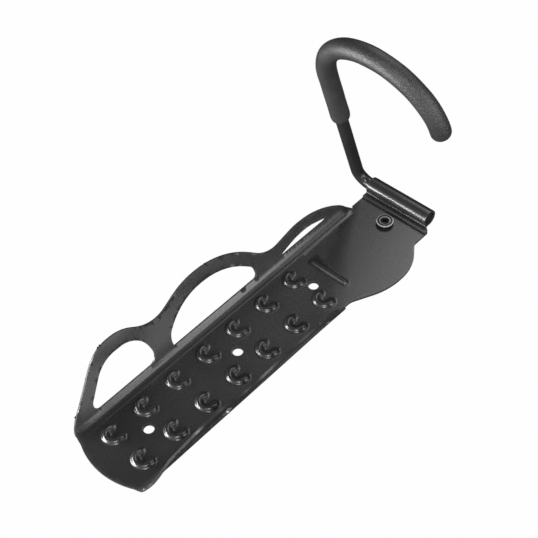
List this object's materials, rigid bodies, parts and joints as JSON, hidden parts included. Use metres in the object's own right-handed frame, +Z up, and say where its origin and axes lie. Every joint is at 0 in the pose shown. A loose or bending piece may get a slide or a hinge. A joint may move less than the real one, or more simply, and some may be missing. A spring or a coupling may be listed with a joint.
{
  "type": "bicycle wall rack",
  "caption": "Pressed steel wall rack with lobed side flanges, a rolled hinge barrel and a folding rod hook in a soft sleeve for hanging a bicycle by its wheel.",
  "frame": {"origin": "back of the sheet on the wall plane, midway between the upper and the middle open wall hole", "axes": "+Z up, -Y out from the wall, +X to the right as seen from the front; the wall is y = 0"},
  "size_m": [0.0937, 0.195, 0.2645],
  "materials": {
    "painted_sheet": "satin black powder coat",
    "painted_rod": "gloss black paint",
    "soft_sleeve": "matte charcoal with a fine grain",
    "black_screw": "black oxide"
  },
  "bodies": {
    "bracket": {"bracket": "painted_sheet", "wall_screw": "black_screw"},
    "hook": {"hook_rod": "painted_rod", "hook_sleeve": "soft_sleeve"}
  },
  "joints": [
    {"name": "hook_fold", "type": "hinge", "parent": "bracket", "child": "hook", "pos_m": [0, -0.00555, 0.1185], "axis": [-1, 0, 0], "range_deg": [0, 104]}
  ]
}
